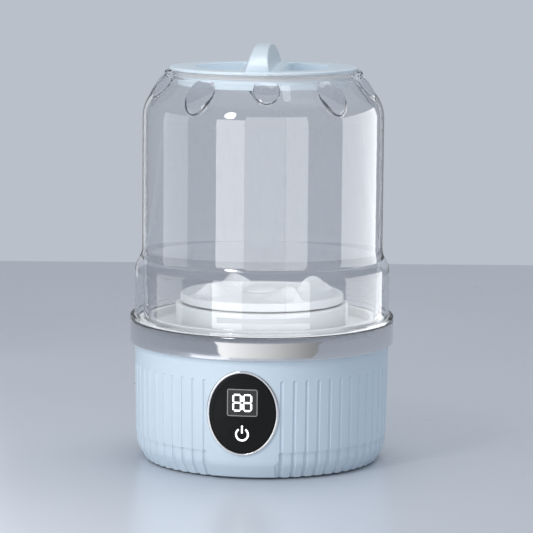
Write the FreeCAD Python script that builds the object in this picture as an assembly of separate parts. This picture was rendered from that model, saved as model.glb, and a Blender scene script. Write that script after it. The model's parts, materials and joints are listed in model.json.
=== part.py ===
"""Portable mini washer: a round counter-top washer for small garments.

A fluted round base carries a clear barrel.  A white tub floor closes the barrel from below and holds the
pulsator, which a small brushed motor turns through one pair of spur gears.  A push-fit lid with a seal and
an arched grip closes the mouth.  The base holds the motor, two cells, the boards and a charge socket behind
a hinged flap.

Units are millimetres.  +Z is up, the front faces -Y, and the origin is on the barrel's axis at the plane
that the feet stand on.
"""

import FreeCAD, Part
import math
import os

from FreeCAD import Matrix, Vector

# ---------------------------------------------------------------- driving dimensions: heights
COVER_Z = (1.8, 4.2)       # bottom cover, inside the shell's lower edge
SHELL_BOTTOM_Z = 1.2       # lower edge of the base shell
BAND_TOP_Z = 17.3          # top of the recessed grip band round the base
FLUTE_TOP_Z = 61.6         # where the flutes end
RING_Z = (74.0, 88.0)      # trim ring, which the barrel's flange stands on
NECK_TOP_Z = 84.0          # top of the shell's neck, inside the trim ring
MOAT_Z = (82.0, 84.4)      # floor of the moat round the pedestal
SOCKET_Z = (78.5, 80.7)    # floor of the groove that takes the barrel's spigot
PEDESTAL_Z = (96.0, 98.5)  # top plate of the pedestal
PULSATOR_Z = (99.3, 104.7)
FLANGE_TOP_Z = 91.2
FLARE_Z = (121.5, 130.0)   # where the barrel's skirt narrows to its wall
SHOULDER_Z = 223.1         # where the barrel's wall and shoulder cone would meet
MOUTH_Z = (240.1, 243.3)   # the barrel's mouth
LID_Z = (244.05, 245.9)    # the lid's flat rim
RECESS_Z = 240.0           # floor of the lid's finger recesses
PLUG_Z = 234.5             # lower edge of the lid's plug
GRIP_TOP_Z = 260.0         # crown of the lid's grip

# ---------------------------------------------------------------- driving dimensions: radii
RING_R = (78.9, 82.5)      # the trim ring is the widest part
NECK_R = 78.6
SHELL_TOP_R = 79.5
SHELL_LOW_R = 78.6
SHELL_IN_R = (75.4, 76.4)  # inner radius at the bottom and at the neck
COVER_R = 70.2
BARREL_R = 75.0
SKIRT_R = 79.5
BARREL_WALL = 2.6
SKIRT_IN_R = 77.6          # the skirt hangs round the wall with a gap between them
SPIGOT_R = (71.2, 73.8)    # the barrel's spigot, in the tub floor's groove
CONE_TOP = (60.6, 239.9)   # radius and height of the shoulder cone's upper end
MOUTH_R = (54.5, 61.4)
LID_R = 58.5
PLUG_R = (51.0, 53.2)
RECESS_R = 42.0
LAND_HALF = 13.0           # half-width of the land between the two finger recesses
GRIP_HALF = 52.0           # half-length of the grip
PEDESTAL_R = (51.4, 54.0)
MOAT_WALL_R = (67.8, 70.2)
PULSATOR_R = 51.0
FIN_R = 33.0               # circle of the fins' middles
BOSS_R = 65.0              # circle of the bottom cover's screws
LUG_R = 63.5               # circle of the tub floor's screws
FOOT_R = 51.0
DIAGONALS = (45, 135, 225, 315)

# ---------------------------------------------------------------- driving dimensions: drive
FIT = 0.05                 # radial clearance of fits and running shafts
PLATE = 2.4                # thickness of the gear case's plates
SHAFT_R = 4.0
SHAFT_Z = (56.0, 103.5)
SHAFT_FLAT = 3.0           # distance from the axis to the shaft's flat
BUSH_R = 6.5
MOTOR_Y = 30.0             # motor axis, behind the drive shaft
MOTOR_R = 13.85
MOTOR_Z = (22.0, 60.0)
MOTOR_SHAFT_R = 1.15
MOTOR_SCREW_X = 8.0
CASE_Z = (60.0, 71.0)      # lower half of the gear case
CASE_TOP_Z = CASE_Z[1] + PLATE
CASE_POSTS = ((-33, -14), (33, -14), (-33, 30), (33, 30))
GEAR_MODULE = 0.75
PINION_TEETH = 16
GEAR_TEETH = 64
GEAR_Z = (64.0, 70.0)

# ---------------------------------------------------------------- driving dimensions: details
FLUTES = 58                # flutes round the base, with a plain front between the first and the last
FLUTE_START = 17.4         # degrees from the front to the first flute
FLUTE_R = 1.25             # radius of a flute's round bottom
BAND_DEPTH = 0.7
BAND_FRONT = 19.2          # half-width of the plain front where it crosses the band
BAND_SHOULDER = 23.4       # half-width of the plain front above the band
DROPS = 10                 # raised drops round the shoulder, small and large in turn
DROP_TURN = 9.8            # degrees from the front to the first small drop
LID_TURN = 4.0             # degrees from the front to the grip's front end
PANEL_Z = 41.6
PANEL_OUT = (22.2, 26.0)   # half-axes of the bezel
PANEL_IN = (20.4, 24.5)    # half-axes of the lens
PANEL_HOLE = (18.0, 22.0)  # half-axes of the opening behind the lens
PANEL_SEAT_R = 78.0
BOARD_Y = -71.0            # front face of the upright display board
DISPLAY_POSTS = ((-19.5, 24), (19.5, 24), (-19.5, 59), (19.5, 59))
TOUCH_Z = 30.5             # middle of the touch key
CELL_R = 9.2
CELL_Z = (7.4, 72.3)
CELLS = ((-49.0, -12.0), (-49.0, 8.0))
BOARD_Z = 16.0
BOARD_POSTS = ((26, -26), (58, -26), (26, 10), (60, 10))
CONNECTOR_Z = BOARD_Z + 6.6
CHARGE_POSTS = ((-6, 56), (6, 56))
CHARGE_Z = 19.2
PORT_Z = 22.0              # middle of the charge socket
FLAP_HINGE = (78.0, 28.9)  # Y and Z of the flap's hinge line


# ---------------------------------------------------------------- building helpers
def disc(radius, z0, z1, x=0.0, y=0.0):
    """A solid upright cylinder."""
    return Part.makeCylinder(radius, z1 - z0, Vector(x, y, z0))


def rod(radius, length, x, y, z):
    """A solid cylinder that runs to the front from a point."""
    return Part.makeCylinder(radius, length, Vector(x, y, z), Vector(0, -1, 0))


def tube(inner, outer, z0, z1, x=0.0, y=0.0):
    """An upright ring with flat ends."""
    return disc(outer, z0, z1, x, y).cut(disc(inner, z0 - 1, z1 + 1, x, y))


def block(x0, x1, y0, y1, z0, z1):
    """A box between two corners."""
    return Part.makeBox(x1 - x0, y1 - y0, z1 - z0, Vector(x0, y0, z0))


def slab(x0, x1, y0, y1, z0, z1, corner, along=Vector(0, 0, 1)):
    """A box whose four edges along one direction are rounded."""
    body = block(x0, x1, y0, y1, z0, z1)
    edges = [e for e in body.Edges if abs(e.tangentAt(e.FirstParameter).dot(along)) > 0.9]
    return body.makeFillet(corner, edges)


def turn(shape, degrees):
    """A copy of the shape, turned about the main axis."""
    copy = shape.copy()
    copy.rotate(Vector(0, 0, 0), Vector(0, 0, 1), degrees)
    return copy


def spot(radius, degrees):
    """The point at an angle from the front, counted anticlockwise from above."""
    a = math.radians(degrees - 90)
    return radius * math.cos(a), radius * math.sin(a)


def group(shapes):
    """Separate solids that share one node."""
    return Part.makeCompound(shapes)


def joined(first, *others):
    """One solid out of shapes that overlap or touch."""
    return first.fuse(list(others)).removeSplitter()


def rounded_wire(corners):
    """A closed outline in the XZ plane.  Each corner is (x, z) or (x, z, fillet radius)."""
    points = [Vector(c[0], 0, c[1]) for c in corners]
    radii = [c[2] if len(c) > 2 else 0.0 for c in corners]
    count = len(points)
    entries, exits, middles = [], [], []
    for i, p in enumerate(points):
        back = (points[i - 1] - p).normalize()
        ahead = (points[(i + 1) % count] - p).normalize()
        half = back.getAngle(ahead) / 2
        reach = radii[i] / math.tan(half)
        entries.append(p + back * reach)
        exits.append(p + ahead * reach)
        inward = back + ahead
        if radii[i]:
            inward = inward.normalize() * (radii[i] / math.sin(half) - radii[i])
        middles.append(p + inward)
    edges = []
    for i in range(count):
        if radii[i]:
            edges.append(Part.Arc(entries[i], middles[i], exits[i]).toShape())
        following = entries[(i + 1) % count]
        if exits[i].distanceToPoint(following) > 1e-6:
            edges.append(Part.LineSegment(exits[i], following).toShape())
    return Part.Wire(edges)


def turned(corners):
    """The rounded outline, turned about the main axis."""
    face = Part.Face(rounded_wire(corners))
    return face.revolve(Vector(0, 0, 0), Vector(0, 0, 1), 360)


def front_prism(face, depth0, depth1):
    """A face of the XZ plane, as a prism between two depths in front of the axis."""
    face.translate(Vector(0, -depth0, 0))
    return face.extrude(Vector(0, depth0 - depth1, 0))


def oval(half_x, half_z, depth0=60, depth1=90):
    """An upright oval prism at the control panel."""
    face = Part.Face(Part.Wire([Part.Ellipse(Vector(0, 0, 0), half_z, half_x).toShape()]))
    face.rotate(Vector(0, 0, 0), Vector(0, 0, 1), 90)
    face.rotate(Vector(0, 0, 0), Vector(1, 0, 0), 90)
    face.translate(Vector(0, 0, PANEL_Z))
    return front_prism(face, depth0, depth1)


def egg(half_x, half_y, half_z):
    """An ellipsoid round the origin."""
    scale = Matrix()
    scale.scale(Vector(half_x, half_y, half_z))
    return Part.makeSphere(1.0).transformGeometry(scale)


def lead(points, radius):
    """A wire lead along straight runs joined by arcs that touch both runs."""
    points = [Vector(*p) for p in points]
    edges, here = [], points[0]
    for before, corner, after in zip(points, points[1:], points[2:]):
        back, ahead = before - corner, after - corner
        reach = 0.45 * min(back.Length, ahead.Length)
        back.normalize()
        ahead.normalize()
        half = back.getAngle(ahead) / 2
        bend = reach * math.tan(half)
        middle = corner + (back + ahead).normalize() * (bend / math.sin(half) - bend)
        edges.append(Part.LineSegment(here, corner + back * reach).toShape())
        here = corner + ahead * reach
        edges.append(Part.Arc(corner + back * reach, middle, here).toShape())
    edges.append(Part.LineSegment(here, points[-1]).toShape())
    section = Part.Wire([Part.makeCircle(radius, points[0], points[1] - points[0])])
    return Part.Wire(edges).makePipeShell([section], True, False)


def screw(x, y, z, head_r, head_h, shank_r, shank_l, way=1):
    """A cross-head screw seated at z, whose shank runs up (way 1) or down (way -1)."""
    head = Part.makeCylinder(head_r, head_h, Vector(x, y, z), Vector(0, 0, -way))
    top = z - way * head_h
    rim = [e for e in head.Edges if e.Closed and abs(e.CenterOfMass.z - top) < 1e-6]
    head = head.makeFillet(head_h * 0.4, rim)
    shank = Part.makeCylinder(shank_r, shank_l, Vector(x, y, z), Vector(0, 0, way))
    low, high = sorted((top, top + way * 0.6 * head_h))
    arm = 0.6 * head_r
    cross = [block(x - arm, x + arm, y - 0.3, y + 0.3, low, high),
             block(x - 0.3, x + 0.3, y - arm, y + arm, low, high)]
    return joined(head, shank).cut(cross)


# ---------------------------------------------------------------- base: shell, cover, feet, ring
def shell_radius(z):
    """Outer radius of the drafted base wall."""
    share = (z - COVER_Z[0]) / (RING_Z[0] - COVER_Z[0])
    return SHELL_LOW_R + share * (SHELL_TOP_R - SHELL_LOW_R)


def flute_cutter(z0, z1, radius, sunk):
    """A cutter for one flute at the front, which follows the wall's draft."""
    low = Vector(0, sunk - shell_radius(z0), z0)
    high = Vector(0, sunk - shell_radius(z1), z1)
    return Part.makeCylinder(radius, (high - low).Length, low, high - low)


def narrow_flute():
    """A cutter for one flute above the grip band, with a round top end."""
    top = FLUTE_TOP_Z - FLUTE_R
    straight = flute_cutter(BAND_TOP_Z - 1, top, FLUTE_R, -0.35)
    return straight.fuse(Part.makeSphere(FLUTE_R, Vector(0, -0.35 - shell_radius(top), top)))


def wide_flute():
    """A cutter for one flute in the grip band, which follows the wall down round the bottom edge."""
    band_r = SHELL_LOW_R - BAND_DEPTH + 0.55
    bent = lead([(0, -band_r, BAND_TOP_Z + 3), (0, -band_r, 9.9), (0, -72.2, -1.5)], FLUTE_R + 0.45)
    return bent.common(disc(90, -3, BAND_TOP_Z))


def flutes(cutter):
    """The cutter repeated for every flute round the shell."""
    pitch = (360 - 2 * FLUTE_START) / (FLUTES - 1)
    return [turn(cutter, FLUTE_START + i * pitch) for i in range(FLUTES)]


def grip_band():
    """What the recessed band takes off the wall, all round but for the plain front."""
    face_r, far_r, low = SHELL_LOW_R - BAND_DEPTH, SHELL_LOW_R + 8, SHELL_BOTTOM_Z - 2
    ring = turned([
        (face_r + 0.2, BAND_TOP_Z), (far_r, BAND_TOP_Z), (far_r, low), (73.2, low), (73.2, 1.4),
        (face_r, 10.0, 9.0)])
    narrow, wide, top = BAND_FRONT, BAND_SHOULDER, BAND_TOP_Z + 2
    front = rounded_wire([
        (-narrow, low - 2), (narrow, low - 2), (narrow, 9.5, 3.0), (wide, 13.5, 3.0), (wide, top),
        (-wide, top), (-wide, 13.5, 3.0), (-narrow, 9.5, 3.0)])
    return ring.cut(front_prism(Part.Face(front), 60, 95))


def shell_fixings():
    """Bosses for the bottom cover, lugs for the tub floor and posts for the display board, and their holes."""
    low_in, top_in = SHELL_IN_R
    solids, holes = [], []
    for angle in DIAGONALS:
        x, y = spot(BOSS_R, angle)
        solids += [disc(3.8, COVER_Z[1], 15.0, x, y), turn(block(-1.2, 1.2, -low_in - 0.6, -BOSS_R, 10, 15), angle)]
        holes.append(disc(1.45, COVER_Z[0], 13.5, x, y))
        x, y = spot(LUG_R, angle)
        solids.append(turn(slab(-5, 5, -top_in - 0.5, -59, RING_Z[0] - 3, RING_Z[0], 1.0), angle))
        holes.append(disc(1.7, RING_Z[0] - 5, RING_Z[0] + 1, x, y))
    for x, z in DISPLAY_POSTS:
        wall_y = math.sqrt(low_in ** 2 - x ** 2)
        solids.append(rod(2.6, wall_y + BOARD_Y + 1.2, x, BOARD_Y, z))
        holes.append(rod(1.05, 2.2, x, BOARD_Y + 0.5, z))
    return solids, holes


def base_shell():
    low_in, top_in = SHELL_IN_R
    bottom_in = COVER_R + 0.4
    shell = turned([
        (bottom_in, SHELL_BOTTOM_Z, 0.5), (74.0, SHELL_BOTTOM_Z, 1.5), (SHELL_LOW_R, 10.0, 9.0),
        (SHELL_TOP_R, RING_Z[0], 0.3), (NECK_R, RING_Z[0]), (NECK_R, NECK_TOP_Z), (top_in, NECK_TOP_Z),
        (low_in, 13.0, 6.0), (bottom_in, 6.0, 2.0)])
    shell = shell.cut(grip_band()).cut(flutes(narrow_flute())).cut(flutes(wide_flute()))
    panel_seat = oval(PANEL_OUT[0] + 0.1, PANEL_OUT[1] + 0.1).cut(disc(PANEL_SEAT_R, 0, 90))
    y_way = Vector(0, 1, 0)
    port = slab(-6.2, 6.2, 60, 90, PORT_Z - 3.4, PORT_Z + 3.6, 2.0, y_way)
    flap_seat = slab(-8.2, 8.2, FLAP_HINGE[0] - 0.8, 90, PORT_Z - 5, FLAP_HINGE[1] + 1, 0.6, y_way)
    shell = shell.cut([panel_seat, oval(*PANEL_HOLE), port, flap_seat])
    solids, holes = shell_fixings()
    return joined(shell, *solids).cut(holes)


def bottom_cover():
    low, high = COVER_Z
    posts = [disc(3.0, high, BOARD_Z, x, y) for x, y in BOARD_POSTS]
    posts += [disc(2.6, high, CHARGE_Z, x, y) for x, y in CHARGE_POSTS]
    rim = tube(COVER_R - 2.6, COVER_R, high, high + 1.4)
    cuts = [disc(0.9, BOARD_Z - 7, BOARD_Z + 1, x, y) for x, y in BOARD_POSTS]
    cuts += [disc(0.9, CHARGE_Z - 7, CHARGE_Z + 1, x, y) for x, y in CHARGE_POSTS]
    for angle in DIAGONALS:
        x, y = spot(BOSS_R, angle)
        cuts += [disc(1.7, low - 1, high + 3, x, y), disc(3.5, low - 1, low + 1.2, x, y)]
        cuts += [disc(4.2, high, high + 2, x, y), disc(5.8, low - 1, low + 0.8, *spot(FOOT_R, angle))]
    return joined(disc(COVER_R, low, high), rim, *posts).cut(cuts)


def rubber_feet():
    return group([disc(5.6, 0.0, COVER_Z[0] + 0.8, *spot(FOOT_R, a)) for a in DIAGONALS])


def cover_screws():
    return group([screw(*spot(BOSS_R, a), COVER_Z[0] + 1.2, 3.0, 1.1, 1.4, 9.5) for a in DIAGONALS])


def trim_ring():
    inner, outer = RING_R
    low, high = RING_Z
    return turned([
        (inner, low), (outer - 1.4, low, 0.8), (outer, low + 4, 3.0), (outer, high, 0.4), (inner, high)])


# ---------------------------------------------------------------- tub: floor, barrel, seals
def tub_floor():
    wall_in, wall_out = MOAT_WALL_R
    flange_z = NECK_TOP_Z + 3
    floor = turned([
        (8.25, 86.0), (11.0, 86.0, 0.5), (11.0, PEDESTAL_Z[0], 0.8), (PEDESTAL_R[0], PEDESTAL_Z[0], 1.0),
        (PEDESTAL_R[0], MOAT_Z[0], 0.5), (wall_in, MOAT_Z[0], 0.5), (wall_in, SOCKET_Z[0], 0.5),
        (76.2, SOCKET_Z[0], 0.5), (76.2, NECK_TOP_Z), (NECK_R, NECK_TOP_Z), (NECK_R, flange_z),
        (74.2, flange_z), (74.2, SOCKET_Z[1], 0.5), (wall_out, SOCKET_Z[1], 0.5), (wall_out, 90.4, 0.9),
        (wall_in, 90.4, 0.9), (wall_in, MOAT_Z[1], 1.0), (PEDESTAL_R[1], MOAT_Z[1], 1.0),
        (PEDESTAL_R[1], PEDESTAL_Z[1], 1.4), (8.25, PEDESTAL_Z[1])])
    posts = [disc(3.6, CASE_TOP_Z, PEDESTAL_Z[0] + 0.5, x, y) for x, y in CASE_POSTS]
    posts += [disc(3.5, RING_Z[0], MOAT_Z[0] + 0.5, *spot(LUG_R, a)) for a in DIAGONALS]
    holes = [disc(1.2, CASE_TOP_Z - 1, 86.0, x, y) for x, y in CASE_POSTS]
    holes += [disc(1.3, RING_Z[0] - 1, 81.0, *spot(LUG_R, a)) for a in DIAGONALS]
    return joined(floor, *posts).cut(holes)


def tub_screws():
    return group([screw(*spot(LUG_R, a), RING_Z[0] - 3, 3.0, 1.6, 1.25, 9.5) for a in DIAGONALS])


def drop_lens(angle, large):
    """One raised drop on the shoulder."""
    if large:
        lens, tilt, radius, z = egg(10.0, 3.4, 13.0), 33.0, 67.5, 230.6
    else:
        lens, tilt, radius, z = egg(8.2, 3.2, 10.4), 40.6, 64.4, 234.8
    lens.rotate(Vector(0, 0, 0), Vector(1, 0, 0), -tilt)
    lens.translate(Vector(0, -radius, z))
    return turn(lens, angle)


def barrel():
    flange_z, wall_in = RING_Z[1], BARREL_R - BARREL_WALL
    spigot_in, spigot_out = SPIGOT_R
    mouth_in, mouth_out = MOUTH_R
    outside = turned([
        (0, flange_z), (RING_R[1], flange_z, 0.4), (RING_R[1], FLANGE_TOP_Z, 1.0),
        (SKIRT_R, FLANGE_TOP_Z, 2.4), (SKIRT_R, FLARE_Z[0], 14.0), (BARREL_R, FLARE_Z[1], 14.0),
        (BARREL_R, SHOULDER_Z, 24.0), (*CONE_TOP, 0.6), (mouth_out, MOUTH_Z[0] + 0.4, 0.4),
        (mouth_out, MOUTH_Z[1], 1.2), (0, MOUTH_Z[1])])
    drops = [drop_lens(DROP_TURN + i * 360 / DROPS, i % 2 == 1) for i in range(DROPS)]
    inside = turned([
        (0, flange_z - 1), (spigot_in, flange_z - 1), (wall_in, FLARE_Z[1], 60.0),
        (wall_in, SHOULDER_Z - 1.1, 21.4), (mouth_in + 3, MOUTH_Z[0] - 1.2, 1.0), (mouth_in, MOUTH_Z[0], 0.6),
        (mouth_in, MOUTH_Z[1], 0.8), (mouth_in - 3, MOUTH_Z[1] + 2), (0, MOUTH_Z[1] + 2)])
    skirt_gap = turned([
        (spigot_out, flange_z - 1), (SKIRT_IN_R, flange_z - 1), (SKIRT_IN_R + 0.6, FLARE_Z[0] - 0.3, 12.7),
        (BARREL_R + 0.15, FLARE_Z[1] - 3.0), (BARREL_R - 0.1, FLARE_Z[1] - 3.2)])
    spigot = turned([
        (spigot_in, 81.2, 0.6), (spigot_out, 81.2, 0.6), (spigot_out, flange_z + 1), (spigot_in, flange_z + 1)])
    seal_groove = tube(60.0, spigot_in + 0.9, 83.2, 85.4)
    return joined(outside.fuse(drops).cut([inside, skirt_gap]), spigot).cut(seal_groove)


def barrel_gasket():
    return tube(74.6, NECK_R - 0.1, NECK_TOP_Z + 3, RING_Z[1])


def barrel_seal():
    return Part.makeTorus(71.1, 0.8, Vector(0, 0, 84.3))


def shaft_seal():
    lip_r = SHAFT_R + FIT
    return turned([
        (lip_r, 88.0), (8.2, 88.0, 0.4), (8.2, PEDESTAL_Z[1]), (5.6, PEDESTAL_Z[1], 0.4), (lip_r, 97.2)])


# ---------------------------------------------------------------- drive: gear case and bushes
def case_outline(z0, z1, grow):
    """The gear case's plan: round the large gear and round the pinion."""
    rounds = [disc(27 + grow, z0, z1), disc(13 + grow, z0, z1, 0, MOTOR_Y)]
    return joined(block(-13 - grow, 13 + grow, 0, MOTOR_Y, z0, z1), *rounds)


def case_ears(z0, z1):
    return slab(-38, 38, -19, 35, z0, z1, 5.0)


def gear_case():
    low, high = CASE_Z
    case = joined(case_outline(low, high, 1.4), case_ears(high - PLATE, high), disc(9.0, low - PLATE, low))
    cuts = [case_outline(low + PLATE, high + 1, -1.0), disc(BUSH_R + FIT, 50, 66), disc(5.2, 50, 66, 0, MOTOR_Y)]
    cuts += [disc(1.6, 50, 66, x, MOTOR_Y) for x in (-MOTOR_SCREW_X, MOTOR_SCREW_X)]
    cuts += [disc(1.7, 60, 80, x, y) for x, y in CASE_POSTS]
    return case.cut(cuts)


def gear_cover():
    low, high = CASE_Z[1], CASE_TOP_Z
    cover = joined(case_outline(low, high, 1.4), case_ears(low, high), disc(9.0, high, high + 3))
    cuts = [disc(BUSH_R + FIT, 60, 80), disc(1.8, 60, 80, 0, MOTOR_Y)]
    cuts += [disc(1.7, 60, 80, x, y) for x, y in CASE_POSTS]
    return cover.cut(cuts)


def case_screws():
    return group([screw(x, y, CASE_Z[1] - PLATE, 2.8, 1.6, 1.15, 16.0) for x, y in CASE_POSTS])


def bush(z0):
    """A plain sintered bush for the drive shaft."""
    return tube(SHAFT_R + FIT, BUSH_R, z0, z0 + 6)


def lower_bush():
    return bush(CASE_Z[0] - PLATE)


def upper_bush():
    return bush(CASE_TOP_Z - 3)


# ---------------------------------------------------------------- drive: gears and shaft
def spur_gear(teeth, bore, start):
    """A spur gear round the main axis, with its first tooth at an angle in degrees."""
    pitch_r = teeth * GEAR_MODULE / 2
    base_r = pitch_r * math.cos(math.radians(20))
    root_r, tip_r = pitch_r - 1.2 * GEAR_MODULE, pitch_r + 0.9 * GEAR_MODULE
    backlash = 0.12

    def roll(radius):
        a = math.acos(base_r / max(radius, base_r))
        return math.tan(a) - a

    def half_tooth(radius):
        return (math.pi * pitch_r / teeth - backlash) / (2 * pitch_r) + roll(pitch_r) - roll(radius)

    steps = 6
    radii = [root_r + (tip_r - root_r) * i / (steps - 1) for i in range(steps)]
    points = []
    for tooth in range(teeth):
        middle = math.radians(start) + tooth * 2 * math.pi / teeth
        flanks = [(r, middle - half_tooth(r)) for r in radii]
        flanks += [(r, middle + half_tooth(r)) for r in reversed(radii)]
        points += [Vector(r * math.cos(a), r * math.sin(a), GEAR_Z[0]) for r, a in flanks]
    face = Part.Face(Part.makePolygon(points + points[:1]))
    return face.extrude(Vector(0, 0, GEAR_Z[1] - GEAR_Z[0])).cut(disc(bore, GEAR_Z[0] - 1, GEAR_Z[1] + 1))


def drive_shaft():
    low, high = SHAFT_Z
    groove = tube(3.2, 6.0, low + 0.6, low + 1.4)
    flat = block(-6, 6, SHAFT_FLAT, 6, PULSATOR_Z[0], high + 1)
    return disc(SHAFT_R, low, high).cut([groove, flat, disc(1.2, high - 9.5, high + 1)])


def drive_gear():
    low, high = GEAR_Z
    webs = [tube(8.0, 20.5, low - 1, low + 1.8), tube(8.0, 20.5, high - 1.8, high + 1)]
    return spur_gear(GEAR_TEETH, SHAFT_R + FIT, 0).cut(webs)


def shaft_circlip():
    low = SHAFT_Z[0]
    return tube(3.3, 5.6, low + 0.7, low + 1.3).cut(block(-1.6, 1.6, 0, 7, low, low + 2))


# ---------------------------------------------------------------- drive: motor
def at_motor(shape):
    """Moves a shape from the main axis to the motor's."""
    shape.translate(Vector(0, MOTOR_Y, 0))
    return shape


def motor_can():
    low, high = MOTOR_Z
    can = joined(disc(MOTOR_R, low + 2, high), disc(5.0, high - 1, high + 2))
    cuts = [disc(MOTOR_R - 1.1, low, high - 1.4), disc(MOTOR_SHAFT_R + FIT, low, high + 3)]
    cuts += [disc(1.2, high - 3, high + 1, x) for x in (-MOTOR_SCREW_X, MOTOR_SCREW_X)]
    return at_motor(can.cut(cuts))


def motor_end_cap():
    low = MOTOR_Z[0]
    cap = joined(disc(MOTOR_R, low, low + 2), disc(MOTOR_R - 1.2, low + 2, low + 5))
    return at_motor(cap.cut([disc(MOTOR_SHAFT_R + FIT, low - 1, low + 9), disc(8.0, low + 3, low + 9)]))


def motor_magnets():
    ring = tube(9.6, 12.5, 30.0, 54.0).cut(block(-20, 20, -3, 3, 29, 55))
    return at_motor(group(ring.Solids))


def motor_shaft():
    return at_motor(disc(MOTOR_SHAFT_R, MOTOR_Z[0] + 0.4, GEAR_Z[1] + 0.6))


def motor_armature():
    slot = joined(block(-0.9, 0.9, 4, 10, 30, 55), disc(2.6, 30, 55, 0, 5.4))
    core = disc(8.8, 33.0, 52.0).cut([turn(slot, 60 + 120 * i) for i in range(3)])
    commutator = disc(2.8, 27.5, 33.0)
    return at_motor(joined(core, commutator).cut(disc(MOTOR_SHAFT_R + FIT, 20, 60)))


def motor_pinion():
    return at_motor(spur_gear(PINION_TEETH, MOTOR_SHAFT_R + FIT, 180 / PINION_TEETH))


def motor_screws():
    places = (-MOTOR_SCREW_X, MOTOR_SCREW_X)
    return group([screw(x, MOTOR_Y, CASE_Z[0] + PLATE, 2.1, 1.2, 1.15, 4.6, -1) for x in places])


# ---------------------------------------------------------------- pulsator
def pulsator():
    low, high = PULSATOR_Z
    plate = turned([
        (0, low), (13.0, low), (13.0, low + 2.6, 1.0), (48.6, low + 2.6, 1.0), (48.6, low),
        (PULSATOR_R, low, 0.5), (PULSATOR_R, high, 1.2), (47.6, high, 1.0), (44.5, high - 1.2, 2.0),
        (14.0, high - 0.6, 2.0), (11.6, high + 0.5, 0.4), (0, high + 0.5)])
    room = tube(11.8, PULSATOR_R - 0.6, high - 2.2, high + 20)
    fin = egg(17.0, 7.0, 10.4)
    fin.rotate(Vector(0, 0, 0), Vector(0, 0, 1), 20)
    fin.translate(Vector(FIN_R, 0, low + 3.2))
    fin = fin.common(room)
    bore = disc(SHAFT_R + FIT, low - 1, SHAFT_Z[1] + 0.1)
    bore = bore.cut(block(-6, 6, SHAFT_FLAT + FIT, 6, low - 2, high + 2))
    return joined(plate, *[turn(fin, 306 + 90 * i) for i in range(4)]).cut([bore, disc(1.6, low, high + 5)])


def pulsator_screw():
    return screw(0, 0, PULSATOR_Z[1] + 0.5, 2.8, 1.5, 1.15, 9.0, -1)


def pulsator_cap():
    low = PULSATOR_Z[1] + 0.55
    dome = turned([(0, low), (11.0, low, 0.4), (11.0, low + 1.2, 1.0), (7.0, low + 2.9, 4.0), (0, low + 2.9)])
    return dome.cut(disc(3.4, low - 1, low + 1.9))


# ---------------------------------------------------------------- control panel
def curved_oval(half_axes, outer):
    """An oval plate that lies in the panel's round seat, out to a radius."""
    return oval(*half_axes).common(tube(PANEL_SEAT_R + FIT, outer, 0, 90))


def panel_glass():
    return curved_oval((PANEL_IN[0] - FIT, PANEL_IN[1] - FIT), 79.5)


def panel_bezel():
    return curved_oval(PANEL_OUT, 80.0).cut(oval(*PANEL_IN))


def display_board():
    board = slab(-24, 24, BOARD_Y, BOARD_Y + 1.5, 21, 62, 2.0, Vector(0, 1, 0))
    return board.cut([rod(1.2, 9, x, BOARD_Y + 3, z) for x, z in DISPLAY_POSTS])


def display_screws():
    screws = []
    for x, z in DISPLAY_POSTS:
        one = screw(0, 0, 0, 2.0, 1.2, 1.0, 3.0, -1)
        one.rotate(Vector(0, 0, 0), Vector(1, 0, 0), -90)
        one.translate(Vector(x, BOARD_Y + 1.5, z))
        screws.append(one)
    return group(screws)


def led_display():
    return slab(-11.5, 11.5, BOARD_Y - 5.4, BOARD_Y, 38.5, 57.5, 0.5, Vector(0, 1, 0))


def touch_spring():
    """The sprung contact that carries the touch key's signal from the lens to the board."""
    foot = rod(3.4, 1.0, 0, BOARD_Y, TOUCH_Z)
    coil = rod(2.6, 6.6, 0, BOARD_Y, TOUCH_Z)
    core = rod(1.6, 5.6, 0, BOARD_Y - 1.0, TOUCH_Z)
    way = Vector(0, 1, 0)
    grooves = [Part.makeTorus(2.75, 0.32, Vector(0, BOARD_Y - 1.6 - i * 0.95, TOUCH_Z), way) for i in range(5)]
    return joined(foot, coil).cut([core] + grooves)


def display_leads():
    runs = []
    for i in range(3):
        x, end_x = 18.0 + 2.0 * i, 35.2 + 1.8 * i
        runs.append(lead([
            (x, BOARD_Y + 1.5, 27), (x, -64, 27), (x + 2, -55, 24.5), (x + 6, -45, 25), (end_x - 3, -35, 28.5),
            (end_x, -28, 28), (end_x, -27.2, CONNECTOR_Z)], 0.6))
    return group(runs)


# ---------------------------------------------------------------- power: cells, boards, charge port
def battery_cells():
    cells = []
    for x, y in CELLS:
        can = disc(CELL_R, CELL_Z[0], CELL_Z[1] - 0.8, x, y)
        rim = [e for e in can.Edges if e.Closed and e.CenterOfMass.z > CELL_Z[0] + 1]
        cells.append(joined(can.makeFillet(1.0, rim), disc(3.0, CELL_Z[1] - 1, CELL_Z[1], x, y)))
    return group(cells)


def battery_holder():
    holder = slab(-60.5, -37.5, -23.5, 19.5, COVER_Z[1], 34.0, 6.0)
    return holder.cut([disc(CELL_R + 0.2, CELL_Z[0] - 0.8, 40, x, y) for x, y in CELLS])


def battery_tabs():
    (x0, y0), (x1, y1) = CELLS
    bridge = slab(x0 - 4, x1 + 4, y0 - 5, y1 + 5, CELL_Z[1], CELL_Z[1] + 0.3, 2.0)
    return group([bridge] + [disc(6.0, CELL_Z[0] - 0.8, CELL_Z[0], x, y) for x, y in CELLS])


def main_board():
    board = slab(21, 64, -31, 15, BOARD_Z, BOARD_Z + 1.6, 2.0)
    return board.cut([disc(1.2, BOARD_Z - 1, BOARD_Z + 3, x, y) for x, y in BOARD_POSTS])


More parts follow.
